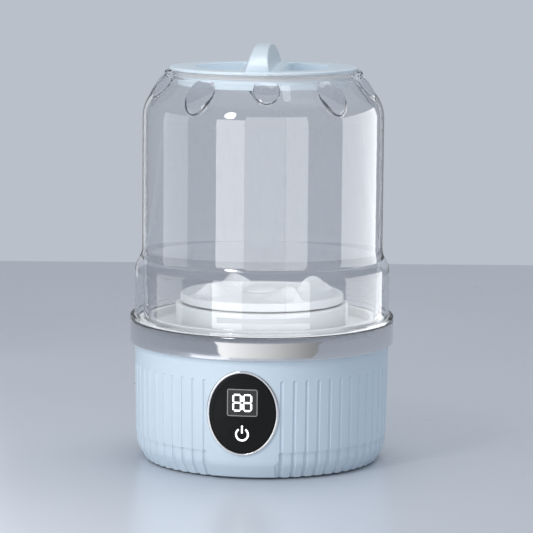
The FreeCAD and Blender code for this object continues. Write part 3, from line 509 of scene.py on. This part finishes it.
def moon(side, inset):
    """The outline of one finger recess: a circle's segment with rounded corners, drawn in by an inset."""
    radius, land, corner = 42.0 - inset, 13.0 + inset, 2.5
    away = math.sqrt((radius - corner) ** 2 - (land + corner) ** 2)
    turn = math.atan2(away, land + corner)
    points = [(radius * math.cos(t), radius * math.sin(t)) for t in np.linspace(-turn, turn, 60)]
    for t in np.linspace(turn, math.pi, 9)[1:]:
        points.append((land + corner + corner * math.cos(t), away + corner * math.sin(t)))
    points += [(land, y) for y in np.linspace(away, -away, 30)[1:-1]]
    for t in np.linspace(math.pi, 2 * math.pi - turn, 9)[:-1]:
        points.append((land + corner + corner * math.cos(t), -away + corner * math.sin(t)))
    return [(side * x, y) for x, y in (points if side > 0 else reversed(points))]


def recess_cutter(side, floor, rim):
    """What a finger recess takes off the lid, with a rounded floor edge and a rounded brim."""
    low_round, brim_round, above_rim = 2.0, 0.6, 2.0
    levels = []
    for t in np.linspace(0, math.pi / 2, 8):
        levels.append((low_round - low_round * math.sin(t), floor + low_round - low_round * math.cos(t)))
    for t in np.linspace(0, math.pi / 2, 5):
        levels.append((-brim_round + brim_round * math.cos(t), rim - brim_round + brim_round * math.sin(t)))
    levels.append((-brim_round, rim + above_rim))
    spin = Matrix.Rotation(math.radians(GRIP_TURN), 3, "Z")
    verts = [tuple(spin @ Vector((x, y, z))) for inset, z in levels for x, y in moon(side, inset)]
    return verts, capped(len(levels), len(verts) // len(levels))


def pointer_tab(low, rim):
    """The small pointer that stands out from the lid's edge."""
    half_width, tip, root = 1.8, -59.4, -56.0
    levels = [(0.0, low + 0.05), (0.0, rim - 0.95), (0.15, rim - 0.65), (0.5, rim - 0.5)]
    spin = Matrix.Rotation(math.radians(TAB_TURN), 3, "Z")
    verts = []
    for inset, z in levels:
        half, front = half_width - inset, tip + inset
        tab = outline([(-half, front, 0.7), (half, front, 0.7), (half, root), (-half, root)], 0.28, 9.0)
        verts += [tuple(spin @ Vector((x, y, z))) for x, y in tab]
    return verts, capped(len(levels), len(verts) // len(levels))


def lid_line(floor, low, rim):
    """The lid's section, from below its middle out round the plug and the rim to the top of its middle."""
    middle, bottom = 4.0, floor - 2.2
    plug_in, plug_out, edge = 51.0, 53.2, 58.5
    plug_end = rim - 11.4
    body = outline([
        (middle, bottom), (44.4, bottom, 1.0), (44.4, low, 0.8), (plug_in, low, 0.8),
        (plug_in, plug_end, 0.5), (plug_out, plug_end, 0.5), (plug_out, low, 0.2),
        (edge, low, 0.5), (edge, rim, 0.9), (middle, rim)], step=0.2, gap=5.0)
    first = np.argmin(np.hypot(body[:, 0] - middle, body[:, 1] - bottom))
    last = np.argmin(np.hypot(body[:, 0] - middle, body[:, 1] - rim))
    return body[first:last + 1]


def build_lid():
    """The lid: flat rim, two finger recesses, arched grip, pointer tab and the plug below."""
    crown = top_of("lid")
    rim = crown - 14.1
    low = rim - 1.85
    floor = rim - 5.9
    line = lid_line(floor, low, rim)
    columns = 360
    verts = spun(line, columns).reshape(-1, 3)
    lid = add_mesh("lid_shell", verts, capped(len(line), columns), "lid", "blue_lid")
    for name, (verts, faces), operation in (
            ("recess", recess_cutter(-1, floor, rim), "DIFFERENCE"),
            ("recess", recess_cutter(1, floor, rim), "DIFFERENCE"),
            ("arch", build_grip(crown, rim, low + 0.5), "UNION"),
            ("tab", pointer_tab(low, rim), "UNION")):
        combine(lid, add_mesh(name, verts, faces, "lid", "blue_lid"), operation)
    lid.data.shade_smooth()
    lid.data.set_sharp_from_angle(angle=math.radians(38))
    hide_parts("lid")
    return lid


# ---------------------------------------------------------------- trim ring and panel
def build_trim_ring():
    """The silver ring between the base and the barrel."""
    low, high = bottom_of("trim_ring"), top_of("trim_ring")
    inner, outer = 78.9, 82.5
    line = outline([(inner, low, 0.3), (outer, low, 0.7), (outer, high, 0.4), (inner, high, 0.3)], 0.12)
    piece = add_ring("trim_band", spun(line, 320), "base", "silver_ring")
    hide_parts("trim_ring")
    return piece


def on_drum(x, z, radius):
    """A point of the panel's curved face."""
    return (x, -math.sqrt(radius * radius - x * x), z)


def panel_middle():
    """Height of the panel's middle, in millimetres."""
    low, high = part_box("panel_bezel")
    return (low.z + high.z) / 2 / MM


def add_oval(name, section, count, slot, sharp):
    """A closed band on the panel's curved face, spanned by ovals of (half width, half height, radius)."""
    middle = panel_middle()
    verts = []
    for half_x, half_z, radius in section:
        for j in range(count):
            t = 2 * math.pi * j / count
            verts.append(on_drum(half_x * math.cos(t), middle + half_z * math.sin(t), radius))
    return add_mesh(name, verts, loop_faces(len(section), count), "base", slot, sharp)


def build_bezel():
    """The bright rim round the lens, with a rounded crest."""
    back, crest, fall, steps = 78.05, 80.0, 0.75, 10
    levels = [(0.0, back), (0.0, crest - fall)]
    for k in range(1, steps):
        angle = math.pi * k / steps
        levels.append((0.5 - 0.5 * math.cos(angle), crest - fall + fall * math.sin(angle) ** 0.7))
    levels += [(1.0, crest - fall), (1.0, back)]
    section = [(20.4 + 1.8 * share, 24.5 + 1.5 * share, radius) for share, radius in levels]
    piece = add_oval("bezel_rim", section, 240, "bezel_chrome", 50.0)
    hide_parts("panel_bezel")
    return piece


def build_lens():
    """The black lens, with a shallow step inside its edge."""
    half_x, half_z = 20.35, 24.45
    inner_face, outer_face, back = 79.25, 79.42, 78.05
    levels = [(share, inner_face) for share in (0.02, 0.2, 0.4, 0.6, 0.75, 0.86)]
    levels += [(0.875, 79.27), (0.89, 79.38), (0.90, outer_face), (0.97, outer_face)]
    levels += [(0.985, 79.36), (0.995, 79.2), (0.997, 79.0)]
    levels += [(share, back) for share in (0.997, 0.5, 0.02)]
    section = [(half_x * share, half_z * share, radius) for share, radius in levels]
    piece = add_oval("lens_face", section, 200, "panel_black", 60.0)
    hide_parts("panel_glass")
    return piece


def prints(name, shapes, radius, thick, finish):
    """Flat marks laid on the lens as thin closed plates.

    Each shape is a strip of (left, right) point pairs, and whether the strip closes on itself.
    """
    verts, faces = [], []
    for strip, closed in shapes:
        start = len(verts)
        for a, b in strip:
            for depth in (radius, radius - thick):
                verts.append(on_drum(*a, depth))
                verts.append(on_drum(*b, depth))
        count = len(strip)
        for i in range(count if closed else count - 1):
            here, after = start + 4 * i, start + 4 * ((i + 1) % count)
            faces.append((here, here + 1, after + 1, after))
            faces.append((here + 3, here + 2, after + 2, after + 3))
            faces.append((here + 2, here, after, after + 2))
            faces.append((here + 1, here + 3, after + 3, after + 1))
        if not closed:
            last = start + 4 * (count - 1)
            faces.append((start, start + 2, start + 3, start + 1))
            faces.append((last + 1, last + 3, last + 2, last))
    return add_mesh(name, verts, faces, "base", "panel_black", 30.0, finish)


def bar(x0, z0, x1, z1, half):
    """A segment between two points with pointed ends."""
    start, end = Vector((x0, z0)), Vector((x1, z1))
    along = (end - start).normalized()
    side = Vector((-along.y, along.x)) * half
    point = along * half * 0.8
    stations = [(start, 0.05), (start + point, 1.0), (end - point, 1.0), (end, 0.05)]
    filled = []
    for (p, w), (q, v) in zip(stations, stations[1:]):
        filled += [(p.lerp(q, k / 4), w + (v - w) * k / 4) for k in range(4)]
    filled.append(stations[-1])
    return [(tuple(p + side * w), tuple(p - side * w)) for p, w in filled], False


def digit(x, z):
    """The seven bars of a lit digit centred on a point of the lens."""
    half_width, half_height, cut, thick = 2.35, 4.85, 0.35, 0.5
    bars = []
    for level in (-half_height, 0.0, half_height):
        bars.append(bar(x - half_width + cut, z + level, x + half_width - cut, z + level, thick))
    for side in (-half_width, half_width):
        bars.append(bar(x + side, z + cut, x + side, z + half_height - cut, thick))
        bars.append(bar(x + side, z - half_height + cut, x + side, z - cut, thick))
    return bars


def power_mark(z):
    """The open ring and the stem of a power mark centred at a height of the lens."""
    inner, outer, half_stem = 3.15, 4.15, 0.5
    first, sweep, steps = 125, 290, 40
    ring = []
    for k in range(steps + 1):
        angle = math.radians(first + sweep * k / steps)
        outside = (outer * math.cos(angle), z + outer * math.sin(angle))
        inside = (inner * math.cos(angle), z + inner * math.sin(angle))
        ring.append((outside, inside))
    levels = [z + 0.7 + 0.94 * k for k in range(6)]
    stem = [((half_stem, level), (-half_stem, level)) for level in levels]
    return [(ring, False), (stem, False)]


def display_frame(z):
    """The thin frame round the two digits, with rounded corners."""
    half_x, half_z, corner = 9.3, 8.3, 1.2
    inner_x, inner_z = 8.7, 7.7
    border = outline([
        (-half_x, -half_z, corner), (half_x, -half_z, corner),
        (half_x, half_z, corner), (-half_x, half_z, corner)], 0.25, 1.0)
    strip = []
    for x, y in border:
        inside = Vector((max(-inner_x, min(inner_x, x)), max(-inner_z, min(inner_z, y))))
        strip.append(((x, z + y), (inside.x, z + inside.y)))
    return [(strip, True)]


def build_marks():
    """The two lit digits in their frame, and the power mark below them."""
    middle = panel_middle()
    digits_z = middle + 6.6
    face, frame_face, window_face = 79.36, 79.32, 79.29
    prints("digits", digit(-3.15, digits_z) + digit(3.15, digits_z), face, 0.1, LIT)
    prints("power_mark", power_mark(middle - 12.75), face, 0.1, LIT)
    prints("display_frame", display_frame(digits_z), frame_face, 0.08, FRAME_GREY)
    window = [((x, digits_z + 7.6), (x, digits_z - 7.6)) for x in np.linspace(-8.6, 8.6, 25)]
    prints("display_window", [(window, False)], window_face, 0.05, WINDOW_GREY)


# ---------------------------------------------------------------- build
build_barrel()
build_pulsator()
build_lid()
build_trim_ring()
build_bezel()
build_lens()
build_marks()


# ---------------------------------------------------------------- stage, lights, camera
CAMERA_TURN = 8.3  # degrees
CAMERA_ROLL = 0.46  # degrees
CAMERA_DISTANCE, CAMERA_HEIGHT, AIM_HEIGHT = 1.811, 0.367, 0.1206  # metres, as in all of the stage
LAMP_DISTANCE, LAMP_AIM_LIMIT = 0.45, 0.3
BACKDROP = (0.485, 0.527, 0.591, 1)
DARK = (0.05, 0.05, 0.05)


def heading(degrees):
    """Horizontal direction at an angle to the right of the camera, seen from the object."""
    angle = math.radians(CAMERA_TURN + degrees)
    return Vector((math.sin(angle), -math.cos(angle), 0.0))


def add_stage(name, verts, faces, finish, only_reflected=False):
    """A piece of the studio, which may be left to reflections alone."""
    mesh = bpy.data.meshes.new(name)
    mesh.from_pydata([tuple(v) for v in verts], [], faces)
    mesh.materials.append(finish)
    thing = bpy.data.objects.new(name, mesh)
    bpy.context.scene.collection.objects.link(thing)
    if only_reflected:
        thing.visible_camera = False
        thing.visible_diffuse = False
        thing.visible_transmission = False
        thing.visible_shadow = False


def build_floor(near, far, half_width):
    """The floor, from in front of the object to an edge behind it."""
    back = -heading(0)
    side = Vector((-back.y, back.x, 0.0))
    verts = [
        back * near - side * half_width, back * near + side * half_width,
        back * far + side * half_width, back * far - side * half_width]
    finish = node_finish("floor", (0.58, 0.61, 0.66), 0.28, 0.01, cloud=3.0, bump=0.004)
    add_stage("floor", verts, [(0, 1, 2, 3)], finish)


def softbox(name, turn, height, width, tall, radiance, distance=LAMP_DISTANCE, shape="RECTANGLE"):
    """A soft light that faces the object and shows only where its light falls or is reflected."""
    lamp = bpy.data.lights.new(name, "AREA")
    lamp.shape = shape
    lamp.size = width
    lamp.size_y = tall
    lamp.energy = radiance * math.pi * width * tall
    spot = bpy.data.objects.new(name, lamp)
    spot.location = heading(turn) * distance + Vector((0, 0, height))
    aim = Vector((0, 0, min(height, LAMP_AIM_LIMIT))) - spot.location
    spot.rotation_euler = aim.to_track_quat("-Z", "Y").to_euler()
    spot.visible_camera = False
    spot.visible_transmission = False
    bpy.context.scene.collection.objects.link(spot)
    return spot


def spare(lamps, name, *objects):
    """Keeps the light of some lamps off some objects."""
    kept_out = bpy.data.collections.new(name)
    for i, thing in enumerate(objects):
        kept_out.objects.link(thing)
        kept_out.collection_objects[i].light_linking.link_state = "EXCLUDE"
    for lamp in lamps:
        lamp.light_linking.receiver_collection = kept_out


def fading_glow(name, glow, left, right):
    """A glow that falls from the full strength at the left to a fifth of it at the right."""
    shine = node_finish(name, DARK, 0.8, 0.02, cloud=2.0, Emission_Color=(1.0, 1.0, 1.0, 1))
    tree = shine.node_tree
    place = tree.nodes.new("ShaderNodeTexCoord")
    split = tree.nodes.new("ShaderNodeSeparateXYZ")
    fade = tree.nodes.new("ShaderNodeMapRange")
    fade.inputs["From Min"].default_value = left
    fade.inputs["From Max"].default_value = right
    fade.inputs["To Min"].default_value = glow
    fade.inputs["To Max"].default_value = glow * 0.2
    tree.links.new(place.outputs["Object"], split.inputs["Vector"])
    tree.links.new(split.outputs["X"], fade.inputs["Value"])
    tree.links.new(fade.outputs["Result"], tree.nodes["Principled BSDF"].inputs["Emission Strength"])
    return shine


def build_card(name, radius, corners, glow):
    """A curved card whose reflection brightens the ring.

    Its corners are (degrees to the right of the camera, height): top left, low left, low right, top right.
    """
    (left_top, high), (left_low, low), (right_low, _), (right_top, _) = corners
    count = 48
    verts, faces = [], []
    for i in range(count + 1):
        share = i / count
        for first, last, z in ((left_low, right_low, low), (left_top, right_top, high)):
            verts.append(heading(first + (last - first) * share) * radius + Vector((0, 0, z)))
        if i:
            faces.append((2 * i - 2, 2 * i, 2 * i + 1, 2 * i - 1))
    add_stage(name, verts, faces, fading_glow(name, glow, -0.15, 0.32), only_reflected=True)


def build_surround(radius, low, high, glow):
    """A dim wall round the studio, which only reflections see."""
    count = 64
    verts, faces = [], []
    for i in range(count):
        turn = 2 * math.pi * i / count
        verts += [(radius * math.cos(turn), radius * math.sin(turn), z) for z in (low, high)]
        after = (i + 1) % count
        faces.append((2 * i, 2 * after, 2 * after + 1, 2 * i + 1))
    dim = node_finish("surround", DARK, 0.8, 0.02, cloud=2.0,
                      Emission_Color=(0.9, 0.95, 1.0, 1), Emission_Strength=glow)
    add_stage("surround", verts, faces, dim, only_reflected=True)


def build_lamps():
    """The lamps.  Some are kept off the pieces that they would light too brightly."""
    key_lights = [
        softbox("key", turn=-42, height=0.164, width=0.26, tall=0.312, radiance=2.5),
        softbox("fill", turn=0, height=0.30, width=0.6, tall=0.5, radiance=0.45, distance=0.9)]
    barrel_lights = [
        softbox("front_left", turn=-28.7, height=0.164, width=0.204, tall=0.312, radiance=5.4),
        softbox("front_middle", turn=1.7, height=0.204, width=0.285, tall=0.392, radiance=3.0),
        softbox("front_right", turn=29.6, height=0.199, width=0.160, tall=0.382, radiance=3.7),
        softbox("right_side", turn=102.6, height=0.164, width=0.47, tall=0.312, radiance=3.4),
        softbox("left_side", turn=-86, height=0.164, width=0.255, tall=0.312, radiance=1.7)]
    pieces = bpy.data.objects
    seal = frame["nodes"]["lid_seal"]
    spare(key_lights, "not_in_key", pieces["trim_band"], pieces["barrel_shell"], pieces["pulsator_disc"],
          frame["nodes"]["tub_floor"], frame["nodes"]["pulsator_cap"], seal)
    spare(barrel_lights, "not_in_barrel_light", pieces["trim_band"], frame["nodes"]["base_shell"],
          pieces["lens_face"], pieces["bezel_rim"], pieces["lid_shell"], seal, pieces["floor"])
    softbox("left_edge", turn=-148, height=0.188, width=0.08, tall=0.264, radiance=0.5)
    softbox("high_left", turn=-30.6, height=0.405, width=0.085, tall=0.15, radiance=12.0,
            distance=0.427, shape="ELLIPSE")
    overhead = softbox("overhead", turn=150, height=1.9, width=1.4, tall=1.4, radiance=2.6, distance=0.5)
    spare([overhead], "not_on_seal", seal)


def build_backdrop():
    """The even grey-blue behind the object, and colours shown as they are."""
    world = bpy.data.worlds.new("studio")
    world.use_nodes = True
    shade = world.node_tree.nodes["Background"]
    shade.inputs["Color"].default_value = BACKDROP
    shade.inputs["Strength"].default_value = 1.0
    bpy.context.scene.world = world
    bpy.context.scene.view_settings.view_transform = "Standard"


def build_camera():
    """A long lens in front of the object, a little to its right and above it."""
    lens = bpy.data.cameras.new("camera")
    lens.lens = 197.2
    lens.sensor_width = 36.0
    lens.shift_x = 0.008
    camera = bpy.data.objects.new("camera", lens)
    camera.location = heading(0) * CAMERA_DISTANCE + Vector((0, 0, CAMERA_HEIGHT))
    aim = Vector((0, 0, AIM_HEIGHT)) - camera.location
    roll = Matrix.Rotation(math.radians(CAMERA_ROLL), 3, "Z")
    camera.rotation_euler = (aim.to_track_quat("-Z", "Y").to_matrix() @ roll).to_euler()
    bpy.context.scene.collection.objects.link(camera)
    bpy.context.scene.camera = camera


build_floor(near=-9.0, far=0.91, half_width=9)
build_surround(radius=3.0, low=-0.5, high=3.2, glow=0.16)
build_card("low_card", 0.40, [(-37.3, 0.05), (-30.7, 0.004), (40.3, 0.004), (49.4, 0.05)], glow=1.15)
build_lamps()
build_backdrop()
build_camera()
